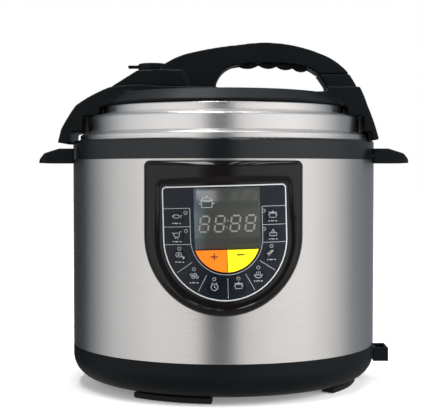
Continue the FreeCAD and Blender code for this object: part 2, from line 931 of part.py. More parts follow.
def make_lid_cover():
    """Black cover: a low dome over the lid with a strap running down to a wing on each side."""
    dome = turned(
        "cover_dome",
        [
            (0, "upper_top"),
            ("upper_radius + 0.2", "upper_top + 0.4"),
            ("upper_radius + 0.2", "upper_top + 3"),
            ("upper_radius - 16", "upper_top + 13"),
            ("upper_radius - 45", "cover_top - 2"),
            (0, "cover_top"),
        ],
    )
    strap = side_prism(
        "cover_strap",
        [
            (-153.2, 223.6),
            (-150, 236.3, 0.5),
            (-136.4, 258.2, 1.2),
            (-105.4, "strap_top - 0.4", 1.8),
            (-58, "strap_top + 0.8"),
            (-6.8, "strap_top"),
            (4, 272.2, -0.6),
            (88, 271, -0.6),
            (97.6, 273),
            (96, 278),
            (88.5, "seam_height"),
            (118, "seam_height", 1.2),
            (133, 257.9, 0.7),
            (143.7, 226.4),
            (137, 226.4),
            (136.4, 233.5),
            (130, 233.6),
            (129.2, 248.4),
            (115, 248.4),
            (114, "upper_top + 0.4"),
            (-114, "upper_top + 0.4"),
            (-115, 248.4),
            (-129.2, 248.4),
            (-130, 233.6),
            (-142.8, 233.6),
            (-142.8, 223.6),
        ],
        "strap_half_width",
    )
    clearance = turned(
        "lid_clearance",
        [(0, "skirt_bottom")] + lid_steps(0.4) + [(0, "dome_top + 0.4")],
    )
    hollow = turned(
        "cover_hollow",
        [
            (0, "upper_top"),
            ("upper_radius - 3", "upper_top + 0.2"),
            ("upper_radius - 3", "upper_top + 2"),
            ("upper_radius - 18", "upper_top + 10.5"),
            ("upper_radius - 46", "cover_top - 5"),
            (0, "cover_top - 3"),
        ],
    )
    wing_left = side_prism(
        "wing_hollow_left",
        [
            (-150.4, 222),
            (-147, 236),
            (-134.5, 256),
            (-131, 258.5),
            (-131, 235),
            (-144.4, 235),
            (-144.4, 222),
        ],
        "strap_half_width - 3",
    )
    wing_right = side_prism(
        "wing_hollow_right",
        [(141, 225), (136.2, 243), (131, 256), (131, 225)],
        "strap_half_width - 3",
    )
    root = side_prism(
        "root_hollow",
        [(100, 262), (122, 262), (121, 272), (115, 284.5), (102, 284.5), (101, 272)],
        "grip_half_width - 3",
    )
    float_hole = rod("cover_float_hole", "4.4", "60", "0 - float_x", "float_y", 240)
    valve_hole = rod("cover_valve_hole", "6", "60", "0 - valve_x", "valve_y", 240)
    # The strap narrows to the grip's width above the dome.
    shoulders = [
        block("shoulder_%d" % side, (80, side * 30 - 13, "strap_top"), (132, side * 30 + 13, 300))
        for side in (-1, 1)
    ]
    blank = fused("cover_blank", [dome, strap])
    tools = [clearance, hollow, wing_left, wing_right, root, float_hole, valve_hole]
    node(cut("lid_cover", blank, tools + shoulders))


def make_handle():
    """Arched carrying handle with the valve deck at its left root, and a scalloped grip insert."""
    arch = side_prism(
        "arch_profile",
        [
            (-60, "strap_top"),
            (-60, "deck_top + 5"),
            (-52.8, 299.9, 1.2),
            (-28.4, 309.3, 0.8),
            (15.7, 316.2, 5.2),
            (89.7, 308.2, 2.4),
            (118, "seam_height + 0.2"),
            (88.7, "seam_height + 0.2", -1.2),
            (72, 296.4, -2.6),
            (8, 296.4, -2.6),
            (-6.8, 281, -0.4),
            (-6.8, "strap_top"),
        ],
        "grip_half_width",
    )
    deck = side_prism(
        "deck_profile",
        [
            (-105.4, "strap_top"),
            (-80, "deck_top", 0.8),
            (-38, "deck_top"),
            (-32, "strap_top"),
        ],
        "deck_half_width",
    )
    valve_hole = rod("deck_valve_hole", "6", "60", "0 - valve_x", "valve_y", 260)
    knob_room = rod("knob_room", "knob_radius + 0.8", "30", "0 - valve_x", "valve_y", "deck_top + 0.1")
    deck_hollow = side_prism(
        "deck_hollow",
        [(-96, 274), (-80, 287.8), (-42, 287.8), (-38, 274)],
        "deck_half_width - 3",
    )
    blank = fused("handle_blank", [arch, deck])
    groove = side_prism(
        "grip_seat",
        [(14, 294), (14, 301.2), (80, 298.4), (80, 292)],
        "grip_half_width - 3",
    )
    cover_blank = doc.getObject("cover_blank")
    node(cut("handle_arch", blank, [valve_hole, knob_room, deck_hollow, groove, cover_blank]))

    scallops = [(15, 296.6, -2.4), (33.5, 298.2, -2.6), (50.5, 297, -2.4), (66, 295.4, -2.2), (79, 292.8)]
    insert = side_prism(
        "handle_grip_blank",
        scallops + [(79, 298.1), (15, 300.9)],
        "grip_half_width - 3.3",
    )
    node(common("handle_grip", [insert, block("grip_bounds", (10, -30, 280), (84, 30, 310))]))

    places = ((-84, -20), (-84, 20), (-46, -10), (-46, 10))
    screws = [
        screw("handle_fixing_%d" % index, x, y, 267.0, (0, 0, 1), 2.6, 1.4, 9.5)
        for index, (x, y) in enumerate(places)
    ]
    node(group("handle_fixing_screws", screws))


def make_lock():
    """Sliding lock beside the float pin, with its return spring."""
    bar = block("lock_bar", (-68, "float_y - 3.5", 265.5), (-46.5, "float_y + 3.5", 266.8))
    tab = block("lock_tab", (-68, "float_y - 3.5", 263.8), (-66, "float_y + 3.5", 265.5))
    node(fused("lock_slider", [bar, tab]))


# ---------------------------------------------------------------- control panel


PANEL_FRONT = -165
PANEL_BACK = -100
KEY_ARC_RADIUS = 41.2
LOW_KEY_ANGLES = (230, 256, 284, 310)


def tilted(thing):
    """Turn a piece of the overlay about the overlay's centre, in the plane of the panel."""
    for axis in "xyz":
        thing.setExpression("Placement.Base." + axis, None)
    centre = Vector(SIZES["overlay_offset"], 0, SIZES["overlay_centre"])
    turn = Rotation(Vector(0, -1, 0), SIZES["overlay_tilt"])
    spin = Placement(centre, turn).multiply(Placement(-centre, Rotation()))
    thing.Placement = spin.multiply(thing.Placement)
    return thing


def tilted_spot(x, z):
    """A place on the overlay, turned with it."""
    angle = math.radians(SIZES["overlay_tilt"])
    across = x - SIZES["overlay_offset"]
    up = z - SIZES["overlay_centre"]
    return (
        SIZES["overlay_offset"] + across * math.cos(angle) - up * math.sin(angle),
        SIZES["overlay_centre"] + across * math.sin(angle) + up * math.cos(angle),
    )


def shield(name, half_width, top, centre, corner, shift=0, grow=0):
    """Block along Y with a square top, rounded corners and a half-round bottom."""
    body = doc.addObject("PartDesign::Body", name)
    half = "%s + %g" % (half_width, grow)
    left = "%g - %s - %g" % (shift, half_width, grow)
    right = "%g + %s" % (shift, half)
    high = "%s + %g" % (top, grow)
    reach = "%g" % (value(corner) + grow)
    bulge = "0 - %g" % ((1 - math.sqrt(0.5)) * (value(corner) + grow))
    corners = [
        (left, centre, "0 - %g" % value(half)),
        (right, centre),
        (right, high + " - " + reach, bulge),
        (right + " - " + reach, high),
        (left + " + " + reach, high, bulge),
        (left, high + " - " + reach),
    ]
    sketch = body_sketch(body, name + "_outline", "XZ_Plane", corners)
    pad = body.newObject("PartDesign::Pad", name + "_pad")
    pad.Profile = sketch
    pad.Length = PANEL_BACK - PANEL_FRONT
    return place(body, 0, PANEL_BACK, 0)


def curved(label, blank, inner, outer):
    """Part of a block between two radii about the body's axis."""
    tube = turned(
        label + "_tube",
        [(inner, 60), (outer, 60), (outer, 215), (inner, 215)],
    )
    return common(label, [blank, tube])


def around(x):
    """Angle about Z, in degrees, of a place on the panel at a given X."""
    return math.degrees(math.asin(x / SIZES["overlay_radius"]))


def radial(name, radius_text, low, high, x, z):
    """Cylinder that stands out of the panel at a place, between two distances from the axis."""
    angle = math.radians(around(x))
    way = Vector(math.sin(angle), -math.cos(angle), 0)
    start = way * low
    cylinder = rod(name, radius_text, "%g" % (high - low), start.x, start.y, z, tuple(way))
    return cylinder


def key_places():
    """Names and (X, Z) places of the ten function keys: two columns and the arc below them."""
    offset = SIZES["overlay_offset"]
    centre = SIZES["overlay_centre"]
    rows = ((39.8, 159.5), (39.8, 144.5), (38.0, 127.6))
    places = {}
    for side, name in ((-1, "left"), (1, "right")):
        for row, (across, z) in enumerate(rows, start=1):
            places["key_%s_%d" % (name, row)] = tilted_spot(offset + side * across, z)
    names = ("low_left", "bottom_left", "bottom_right", "low_right")
    for name, angle in zip(names, LOW_KEY_ANGLES):
        turn = math.radians(angle)
        across, up = KEY_ARC_RADIUS * math.cos(turn), KEY_ARC_RADIUS * math.sin(turn)
        places["key_" + name] = tilted_spot(offset + across, centre + up)
    return places


def moon(name, side, grow):
    """Left or right half of the round-bottomed plus and minus field."""
    body = doc.addObject("PartDesign::Body", name)
    offset = SIZES["field_offset"]
    gap = SIZES["key_gap"] - grow
    top = SIZES["moon_top"] + grow
    radius = SIZES["moon_radius"] + grow
    centre_z = SIZES["overlay_centre"]
    near = offset + side * gap
    far = offset + side * math.sqrt(radius**2 - (top - centre_z) ** 2)
    bottom = centre_z - math.sqrt(radius**2 - gap**2)
    chord = math.hypot(far - near, top - bottom)
    rise = radius - math.sqrt(radius**2 - (chord / 2) ** 2)
    corners = [(near, top), (near, bottom, side * -rise), (far, top)]
    texts = [tuple("%.5f" % number for number in corner) for corner in corners]
    sketch = body_sketch(body, name + "_outline", "XZ_Plane", texts)
    pad = body.newObject("PartDesign::Pad", name + "_pad")
    pad.Profile = sketch
    pad.Length = PANEL_BACK - PANEL_FRONT
    return place(body, 0, PANEL_BACK, 0)


def make_panel():
    """Bulged bezel, the overlay in it, the display and lamps behind it, and twelve keys."""
    offset = SIZES["overlay_offset"]
    bezel_block = shield(
        "bezel_block", "panel_half_width", "panel_top", "panel_centre", "panel_corner"
    )
    overlay_edge = ("overlay_half_width", "overlay_top", "overlay_centre", "overlay_corner")
    recess = tilted(shield("bezel_recess", *overlay_edge, offset))
    recess_tube = curved("bezel_pocket", recess, "cavity_radius", "panel_radius + 5")
    bezel_solid = curved("bezel_solid", bezel_block, "panel_seat", "panel_radius")
    node(cut("panel_bezel", bezel_solid, [recess_tube]))

    overlay_block = tilted(shield("overlay_block", *overlay_edge, offset, -0.3))
    overlay_sheet = curved(
        "overlay_sheet", overlay_block, "overlay_radius - overlay_thickness", "overlay_radius"
    )
    tools = []
    for name, (x, z) in key_places().items():
        tools.append(radial(name + "_hole", "key_radius + key_gap", 140, 160, x, z))
    for name, (x, z) in lamp_places().items():
        tools.append(radial(name + "_hole", "lamp_radius + 0.05", 140, 160, x, z))
    for side, name in ((-1, "plus"), (1, "minus")):
        tools.append(tilted(moon(name + "_hole", side, 0.29)))
    window_low = ("field_offset - window_half_width", PANEL_FRONT, "window_bottom")
    window_high = ("field_offset + window_half_width", -130, "window_top")
    tools.append(tilted(block("window_hole", window_low, window_high)))
    node(cut("panel_overlay", overlay_sheet, tools))

    low = ("field_offset - window_half_width + 0.2", PANEL_FRONT, "window_bottom + 0.2")
    high = ("field_offset + window_half_width - 0.2", -130, "window_top - 0.2")
    lens = tilted(block("window_block", low, high))
    node(curved("display_window", lens, "overlay_radius - overlay_thickness", "overlay_radius + 0.1"))
    module = block(
        "module_block",
        ("field_offset - window_half_width + 1", -149, "window_bottom + 1"),
        ("field_offset + window_half_width - 1", -146.3, "window_top - 1"),
    )
    tilted(module)
    module_front = "overlay_radius - overlay_thickness - 0.4"
    node(curved("display_module", module, "cavity_radius + 0.1", module_front))

    switches = []
    key_travel = SIZES["key_travel"]
    back = SIZES["overlay_radius"] - SIZES["overlay_thickness"] - 0.9
    front = SIZES["overlay_radius"] + 0.5
    for name, (x, z) in key_places().items():
        node(radial(name, "key_radius", back, front, x, z))
        switches.append(radial(name + "_switch", "2.4", 146.05, back - key_travel - 0.1, x, z))
    for side, name in ((-1, "plus"), (1, "minus")):
        blank = tilted(moon("key_" + name + "_blank", side, 0))
        node(curved("key_" + name, blank, "%g" % back, "%g" % front))
        x, z = tilted_spot(SIZES["field_offset"] + side * 10, 125)
        switches.append(radial(name + "_switch", "2.4", 146.05, back - key_travel - 0.1, x, z))
    node(group("tact_switches", switches))
    lamps = [
        radial(name, "lamp_radius", back, front - 0.35, x, z)
        for name, (x, z) in lamp_places().items()
    ]
    node(group("indicator_lamps", lamps))
    node(block("control_board", (-46, -131.5, 108), (46, -129.9, 188)))


def lamp_places():
    """Names and (X, Z) places of the lamps: beside the upper keys, above all the others."""
    offset = SIZES["overlay_offset"]
    centre = SIZES["overlay_centre"]
    places = {}
    for side, name in ((-1, "left"), (1, "right")):
        for row, (across, z) in enumerate(((32.1, 164.1), (32.1, 149.1), (38.0, 134.7)), start=1):
            places["lamp_%s_%d" % (name, row)] = tilted_spot(offset + side * across, z)
    for index, angle in enumerate(LOW_KEY_ANGLES):
        turn = math.radians(angle)
        across, up = KEY_ARC_RADIUS * math.cos(turn), KEY_ARC_RADIUS * math.sin(turn)
        places["lamp_low_%d" % index] = tilted_spot(offset + across, centre + up + 7)
    return places


# ---------------------------------------------------------------- build, check and write

make_housing()
make_base()
make_feet()
make_ring()
make_side_handles()
make_pots()
make_heater()
make_electrics()
make_rear_and_side_fittings()
make_steel_lid()
make_lid_inside()
make_vent()
make_float()
make_lid_cover()
make_handle()
make_lock()
make_panel()
doc.recompute()

failed = [thing.Name for thing in doc.Objects if {"Invalid", "Error"} & set(thing.State)]
if failed:
    raise RuntimeError("failed: " + ", ".join(failed))

os.makedirs("parts", exist_ok=True)
for piece in NODES:
    shape = piece.Shape
    if shape.isNull() or not shape.isValid() or not shape.Solids:
        raise RuntimeError("bad shape: " + piece.Label)
    shape.exportStep("parts/" + piece.Label + ".step")
    print("%-28s solids %3d  volume %10.1f" % (piece.Label, len(shape.Solids), shape.Volume))
print(len(NODES), "nodes")
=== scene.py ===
import json
import math

import bmesh
import bpy
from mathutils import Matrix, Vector


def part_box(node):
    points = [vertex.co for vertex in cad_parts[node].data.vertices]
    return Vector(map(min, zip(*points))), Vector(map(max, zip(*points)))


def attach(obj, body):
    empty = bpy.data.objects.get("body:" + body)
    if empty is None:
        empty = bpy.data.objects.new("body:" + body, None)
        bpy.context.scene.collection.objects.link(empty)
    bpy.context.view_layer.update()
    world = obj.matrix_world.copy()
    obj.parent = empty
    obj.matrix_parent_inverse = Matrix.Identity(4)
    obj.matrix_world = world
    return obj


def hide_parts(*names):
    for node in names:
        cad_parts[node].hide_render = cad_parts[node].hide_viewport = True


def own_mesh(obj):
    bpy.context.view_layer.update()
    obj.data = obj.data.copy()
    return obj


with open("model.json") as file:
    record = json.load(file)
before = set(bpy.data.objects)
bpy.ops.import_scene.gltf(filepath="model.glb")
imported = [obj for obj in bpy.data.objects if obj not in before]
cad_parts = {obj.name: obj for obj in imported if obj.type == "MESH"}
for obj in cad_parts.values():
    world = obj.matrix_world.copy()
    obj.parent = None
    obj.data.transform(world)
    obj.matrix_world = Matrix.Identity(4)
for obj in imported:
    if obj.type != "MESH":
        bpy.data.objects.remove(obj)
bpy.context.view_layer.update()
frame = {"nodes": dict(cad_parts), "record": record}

# Electric pressure cooker.  The frame is in metres, +Z up, with the control panel facing -Y.
# The panel is drawn in millimetres: across, positive to the right, and up from the worktop.
MM = 0.001

NODES = frame["nodes"]

# Radii of the panel's faces where they bulge furthest forward, and of the steel sleeve.
BEZEL_LOW, BEZEL_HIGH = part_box("panel_bezel")
BEZEL_FRONT = -BEZEL_LOW.y / MM
OVERLAY_FRONT = -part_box("panel_overlay")[0].y / MM
WINDOW_FRONT = -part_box("display_window")[0].y / MM
BODY_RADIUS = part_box("outer_housing")[1].x / MM

# Centre of the panel's half-round end, and its turn about that centre.
PANEL_X, PANEL_Z = 1.6, 142.0
TILT = math.radians(1.6)
# The display field: its middle and its half width.
FIELD_X, FIELD_HALF = 2.8, 29.7
# Lines above and between the side keys, and the arc that the low keys lie on.
ROW_LINES = (167.8, 152.6, 138.0)
KEY_ARC_RADIUS = 41.2
KEY_ARC_ANGLES = (230, 256, 284, 310)


# ---------------------------------------------------------------- material nodes


class Nodes:
    """Small helpers that add and link the nodes of one tree."""

    def __init__(self, tree):
        self.tree = tree

    def node(self, kind, **settings):
        """A new node; a setting is an input's value where the node has an input of that name."""
        made = self.tree.nodes.new("ShaderNode" + kind)
        for key, setting in settings.items():
            if key in made.inputs:
                made.inputs[key].default_value = setting
            else:
                setattr(made, key, setting)
        return made

    def link(self, source, target):
        self.tree.links.new(source, target)

    def feed(self, source, target):
        """Link an output to an input, or set the input's own value."""
        if isinstance(source, bpy.types.NodeSocket):
            self.link(source, target)
        else:
            target.default_value = source

    def step(self, operation, first, second):
        made = self.node("Math", operation=operation)
        self.feed(first, made.inputs[0])
        self.feed(second, made.inputs[1])
        return made.outputs[0]

    def remap(self, source, low, high, start=0.3, end=0.7, smooth=False):
        """Stretch the values between start and end over those between low and high."""
        span = self.node(
            "MapRange", **{"From Min": start, "From Max": end, "To Min": low, "To Max": high}
        )
        if smooth:
            span.interpolation_type = "SMOOTHSTEP"
        self.link(source, span.inputs["Value"])
        return span.outputs["Result"]

    def blend(self, share, first, second):
        """Mix of two colours, each an output or four fixed numbers."""
        mix = self.node("Mix", data_type="RGBA")
        self.link(share, mix.inputs["Factor"])
        colours = [socket for socket in mix.inputs if socket.type == "RGBA"]
        for source, socket in zip((first, second), colours):
            self.feed(source, socket)
        return next(socket for socket in mix.outputs if socket.type == "RGBA")


class Shader(Nodes):
    """A Principled material; its fixed values are set on the shader's own sockets."""

    def __init__(self, name, colour, roughness, metallic=0.0, **sockets):
        self.material = bpy.data.materials.new(name)
        self.material.use_nodes = True
        super().__init__(self.material.node_tree)
        self.surface = self.tree.nodes["Principled BSDF"]
        self.colour = colour
        self.set("Base Color", (*colour, 1))
        self.set("Roughness", roughness)
        self.set("Metallic", metallic)
        for socket, amount in sockets.items():
            self.set(socket.replace("_", " "), amount)

    def set(self, socket, amount):
        self.surface.inputs[socket].default_value = amount

    def place(self):
        return self.node("TexCoord").outputs["Object"]

    def split_place(self):
        split = self.node("SeparateXYZ")
        self.link(self.place(), split.inputs[0])
        return split.outputs

    def turned_place(self, around, up):
        """Position as azimuth and height about the body's axis, each scaled."""
        split = self.split_place()
        azimuth = self.step("ARCTAN2", split["Y"], split["X"])
        join = self.node("CombineXYZ")
        self.link(self.step("MULTIPLY", azimuth, around), join.inputs["X"])
        self.link(self.step("MULTIPLY", split["Z"], up), join.inputs["Y"])
        return join.outputs[0]

    def noise(self, scale, detail=3.0, place=None, roughness=0.55):
        texture = self.node("TexNoise", Scale=scale, Detail=detail, Roughness=roughness)
        self.link(place or self.place(), texture.inputs["Vector"])
        return texture.outputs["Fac"]

    def tint(self, share, first, second):
        """Base colour that goes from the first tint to the second."""
        colour = self.blend(share, (*first, 1), (*second, 1))
        self.link(colour, self.surface.inputs["Base Color"])

    def vary_colour(self, source, dark, light):
        """Base colour that a texture moves between a darker and a lighter tint."""
        tints = [[min(1.0, channel * tint) for channel in self.colour] for tint in (dark, light)]
        self.tint(source, *tints)

    def vary_roughness(self, source, low, high):
        self.link(self.remap(source, low, high), self.surface.inputs["Roughness"])

    def bump(self, source, strength, distance):
        bump = self.node("Bump", Strength=strength, Distance=distance)
        self.link(source, bump.inputs["Height"])
        self.link(bump.outputs["Normal"], self.surface.inputs["Normal"])


def brushed(name, colour, roughness, anisotropy):
    """Steel with fine scratches that run round the body."""
    shader = Shader(name, colour, roughness, 1.0, Anisotropic=anisotropy, Anisotropic_Rotation=0.25)
    tangent = shader.node("Tangent", direction_type="RADIAL", axis="Z")
    shader.link(tangent.outputs[0], shader.surface.inputs["Tangent"])
    scratches = shader.noise(1.0, 4.0, shader.turned_place(around=6.0, up=2600.0), 0.7)
    shader.vary_colour(shader.noise(9.0), 0.965, 1.02)
    shader.vary_roughness(scratches, roughness - 0.05, roughness + 0.05)
    shader.bump(scratches, 0.06, 0.0002)
    return shader.material


def moulded(name, colour, roughness, grain=900.0, depth=0.12, **sockets):
    """Moulded plastic: a fine even grain, slight cloudiness and a little uneven gloss."""
    shader = Shader(name, colour, roughness, **sockets)
    clouds = shader.noise(14.0, 4.0)
    shader.vary_colour(clouds, 0.82, 1.25)
    shader.vary_roughness(clouds, roughness - 0.05, roughness + 0.06)
    shader.bump(shader.noise(grain), depth, 0.0002)
    return shader.material


def add_ripples(shader):
    """The faint waviness of a polished surface."""
    shader.bump(shader.noise(60.0, 1.0), 0.02, 0.0004)


def glossy(name, colour, roughness, coat, dark=0.9, light=1.12, **sockets):
    """Polished plastic or printed film, with faint handling marks."""
    shader = Shader(name, colour, roughness, **sockets)
    shader.set("Coat Weight", coat)
    shader.set("Coat Roughness", 0.04)
    smears = shader.noise(38.0, 5.0)
    shader.vary_colour(smears, dark, light)
    shader.vary_roughness(smears, max(0.02, roughness - 0.03), roughness + 0.07)
    add_ripples(shader)
    return shader.material


def smoked(name, colour, edge):
    """Polished smoked film with a painted highlight: its base colour is painted paler and bluer
    towards its left edge, standing in for a reflection.
    """
    shader = Shader(name, colour, 0.14, Specular_IOR_Level=0.25)
    # Painted highlight: the share of the paler, bluer tint grows towards the film's left edge.
    painted_highlight_share = shader.remap(shader.split_place()["X"], 1.0, 0.0, -24 * MM, -13 * MM)
    cloud = shader.remap(shader.noise(30.0, 4.0), 0.9, 1.1)
    shader.tint(shader.step("MULTIPLY", painted_highlight_share, cloud), colour, edge)
    add_ripples(shader)
    return shader.material


def cast(name, colour, roughness):
    """Cast or rolled metal with a pebbled surface."""
    shader = Shader(name, colour, roughness, 1.0)
    pebble = shader.noise(420.0, 4.0)
    shader.vary_colour(shader.noise(20.0), 0.88, 1.06)
    shader.vary_roughness(pebble, roughness - 0.08, roughness + 0.1)
    shader.bump(pebble, 0.2, 0.0003)
    return shader.material


def satin(name, colour, roughness, coat, dark=0.9, light=1.12):
    """Film or paint with little shine of its own."""
    return glossy(name, colour, roughness, coat, dark, light, Specular_IOR_Level=0.25)


def coloured_key(name, colour):
    return glossy(name, colour, 0.3, 0.0, 0.96, 1.03, Specular_IOR_Level=0.2)


MATERIALS = {
    "brushed_steel_shell": brushed("shell_steel", (0.755, 0.728, 0.706), 0.30, 0.75),
    "polished_lid_steel": brushed("lid_steel", (0.82, 0.80, 0.785), 0.30, 0.6),
    "inner_steel": brushed("inner_steel", (0.62, 0.62, 0.61), 0.28, 0.3),
    "cast_aluminium": cast("cast_aluminium", (0.55, 0.56, 0.57), 0.45),
    "sheet_metal": cast("rolled_sheet", (0.58, 0.59, 0.60), 0.35),
    "screw_steel": cast("screw_steel", (0.42, 0.42, 0.43), 0.3),
    "pin_metal": cast("pin_metal", (0.62, 0.56, 0.42), 0.25),
    "black_plastic": moulded(
        "black_plastic", (0.0028, 0.0038, 0.0047), 0.40, Specular_IOR_Level=0.13
    ),
    "ring_black": moulded("ring_black", (0.0028, 0.0040, 0.0050), 0.20, Specular_IOR_Level=0.46),
    "black_rubber": moulded(
        "black_rubber", (0.006, 0.007, 0.008), 0.62, 500.0, 0.25, Specular_IOR_Level=0.2
    ),
    "silicone": moulded(
        "silicone", (0.62, 0.63, 0.60), 0.42, 300.0, 0.08, Subsurface_Weight=0.15
    ),
    "display_core": moulded("display_core", (0.06, 0.06, 0.055), 0.5),
    "circuit_board": moulded("circuit_board", (0.02, 0.12, 0.05), 0.4, 250.0, 0.3),
    "switch_body": moulded("switch_body", (0.03, 0.03, 0.03), 0.5),
    "gloss_black": glossy(
        "gloss_black", (0.0036, 0.0026, 0.0026), 0.06, 0.0, Specular_IOR_Level=0.36
    ),
    "clear_cup": glossy("clear_cup", (0.75, 0.80, 0.83), 0.12, 0.2, Alpha=0.45),
    "overlay_film": satin("overlay_film", (0.0042, 0.0058, 0.0098), 0.16, 0.0),
    "key_film": satin("key_film", (0.0034, 0.0044, 0.0072), 0.20, 0.0),
    # Both smoked films carry a painted highlight, a paler, bluer tint towards the left that stands in
    # for a reflection.
    "display_tint": smoked("display_tint", (0.034, 0.036, 0.031), (0.075, 0.095, 0.115)),
    "field_film": smoked("field_film", (0.034, 0.036, 0.032), (0.060, 0.078, 0.098)),
    "lamp_lens": glossy("lamp_lens", (0.022, 0.022, 0.020), 0.25, 0.2),
    "orange_key": coloured_key("orange_key", (0.90, 0.17, 0.006)),
    "yellow_key": coloured_key("yellow_key", (0.86, 0.76, 0.008)),
    "print_white": glossy("print_white", (0.42, 0.43, 0.43), 0.35, 0.0, 0.9, 1.05),
    "print_grey": glossy("print_grey", (0.27, 0.28, 0.30), 0.35, 0.0, 0.9, 1.05),
    "unlit_segment": glossy("unlit_segment", (0.17, 0.165, 0.145), 0.3, 0.0, 0.92, 1.05),
    "sign_brown": glossy("sign_brown", (0.020, 0.012, 0.006), 0.4, 0.0),
}


def finish_nodes():
    """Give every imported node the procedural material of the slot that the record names."""
    slots = {part["node"]: part["material_slot"] for part in frame["record"]["subparts"]}
    # The ring is polished more than the other black mouldings.
    slots["upper_ring"] = "ring_black"
    for name, slot in slots.items():
        thing = NODES[name]
        thing.data.materials.clear()
        thing.data.materials.append(MATERIALS[slot])


# ---------------------------------------------------------------- softened mouldings


# Grain of the even mesh in millimetres, and rounds of smoothing.
MOULDINGS = {
    "lid_cover": (1.0, 10),
    "handle_arch": (1.0, 10),
    "handle_grip": (0.7, 5),
    "side_handle_left": (0.7, 8),
    "side_handle_right": (0.7, 8),
    "spoon_holder": (0.5, 5),
    "rubber_feet": (0.7, 5),
    "steam_valve_knob": (0.45, 5),
    "cup_bracket": (0.7, 4),
}


def soften_mouldings():
    """Round every edge of the moulded parts evenly, as their moulds would."""
    for name, (voxel, rounds) in MOULDINGS.items():
        thing = NODES[name]
        remesh = thing.modifiers.new("even_mesh", "REMESH")
        remesh.mode = "VOXEL"
        remesh.voxel_size = voxel * MM
        remesh.use_smooth_shade = True
        relax = thing.modifiers.new("rounded_edges", "SMOOTH")
        relax.factor = 0.5
        relax.iterations = rounds


# ---------------------------------------------------------------- outlines and meshes


def tilted(across, up):
    """A place on the panel after its slight turn."""
    x = across - PANEL_X
    z = up - PANEL_Z
    return (
        PANEL_X + x * math.cos(TILT) - z * math.sin(TILT),
        PANEL_Z + x * math.sin(TILT) + z * math.cos(TILT),
    )


def on_drum(across, up, radius):
    """The place in metres where a panel point meets an upright drum round the body's axis."""
    return (across * MM, -math.sqrt(radius * radius - across * across) * MM, up * MM)


def line(start, end, count):
    """Evenly spaced points from start up to, but not including, end."""
    (x0, z0), (x1, z1) = start, end
    return [(x0 + (x1 - x0) * i / count, z0 + (z1 - z0) * i / count) for i in range(count)]


def circle(x, z, radius, steps=20, start=0.0, sweep=360.0, flat=1.0):
    """Points round a circle, or along an arc of it with both ends."""
    count = steps if sweep == 360.0 else steps + 1
    spots = []
    for index in range(count):
        angle = math.radians(start + sweep * index / steps)
        spots.append((x + radius * math.cos(angle), z + radius * flat * math.sin(angle)))
    return spots


def shield(half_width, top, centre, corner, shift=0.0):
    """Closed outline with a square rounded top and a half-round bottom, clockwise from top left."""
    side_steps, corner_steps, bottom_steps = 16, 8, 72
    left, right = shift - half_width, shift + half_width
    high = top - corner
    return (
        line((left + corner, top), (right - corner, top), 2 * side_steps)
        + circle(right - corner, high, corner, corner_steps, 90, -90)[:-1]
        + line((right, high), (right, centre), side_steps)
        + circle(shift, centre, half_width, bottom_steps, 0, -180)[:-1]
        + line((left, centre), (left, high), side_steps)
        + circle(left + corner, high, corner, corner_steps, 180, -90)[:-1]
    )


def loop_faces(rows, columns, closed):
    """Faces between rows of points, each row a loop; the last row meets the first when closed."""
    faces = []
    for row in range(rows if closed else rows - 1):
        here, there = row * columns, (row + 1) % rows * columns
        for index in range(columns):
            turn = (index + 1) % columns
            faces.append((here + index, here + turn, there + turn, there + index))
    if not closed:
        last = (rows - 1) * columns
        faces.append(tuple(range(columns)))
        faces.append(tuple(range(last + columns - 1, last - 1, -1)))
    return faces


def add_piece(name, points, faces, material, body="root", smooth=True):
    mesh = bpy.data.meshes.new(name)
    mesh.from_pydata(points, [], faces)
    shape = bmesh.new()
    shape.from_mesh(mesh)
    bmesh.ops.recalc_face_normals(shape, faces=shape.faces)
    shape.to_mesh(mesh)
    shape.free()
    for face in mesh.polygons:
        face.use_smooth = smooth
    mesh.materials.append(material)
    thing = bpy.data.objects.new(name, mesh)
    bpy.context.scene.collection.objects.link(thing)
    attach(thing, body)
    return thing


# ---------------------------------------------------------------- control panel


def make_bezel():
    """Glossy frame: a rounded rim that dips towards the overlay."""
    half = (BEZEL_HIGH.x - BEZEL_LOW.x) / 2 / MM
    outer = shield(half, BEZEL_HIGH.z / MM, BEZEL_LOW.z / MM + half, 5.0)
    inner = [tilted(*spot) for spot in shield(52.0, 186.0, PANEL_Z, 4.0, PANEL_X)]
    crest = BEZEL_FRONT - 0.02
    seat = BODY_RADIUS + 0.25
    # Each row: its distance in from the rim or out from the overlay, and its radius.
    near_rim = (
        (0.0, seat), (0.0, crest - 6.6), (0.15, crest - 5.3), (0.6, crest - 3.9), (1.4, crest - 2.5),
        (2.5, crest - 1.35), (3.9, crest - 0.5), (5.4, crest - 0.1), (6.6, crest),
    )
    near_overlay = (
        (7.6, crest - 0.2), (6.0, crest - 0.65), (4.5, crest - 1.3), (3.1, crest - 1.9),
        (2.0, crest - 2.2), (1.0, crest - 2.3), (0.3, crest - 2.2), (0.0, crest - 2.1), (0.0, seat),
    )
    points = []
    for rows, from_rim in ((near_rim, True), (near_overlay, False)):
        for inset, radius in rows:
            for (x0, z0), (x1, z1) in zip(outer, inner):
                share = inset / math.hypot(x1 - x0, z1 - z0)
                share = share if from_rim else 1 - share
                points.append(on_drum(x0 + (x1 - x0) * share, z0 + (z1 - z0) * share, radius))
    faces = loop_faces(len(near_rim) + len(near_overlay), len(outer), True)
    bezel = add_piece("bezel_frame", points, faces, MATERIALS["gloss_black"])
    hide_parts("panel_bezel")


def make_field():
    """The smoked field of the overlay behind the display, down to the plus and minus keys."""
    front = OVERLAY_FRONT + 0.06
    back = front - 0.2
    top, bottom = 183.9, 133.6
    left, right = FIELD_X - 26.3, FIELD_X + 28.2
    columns = 24
    points = []
    for across, _ in line((left, 0), (right, 0), columns) + [(right, 0)]:
        for up, radius in ((top, front), (top, back), (bottom, back), (bottom, front)):
            points.append(on_drum(*tilted(across, up), radius))
    faces = loop_faces(columns + 1, 4, False)
    add_piece("display_field", points, faces, MATERIALS["field_film"])


ICON_SCALE = 1.25
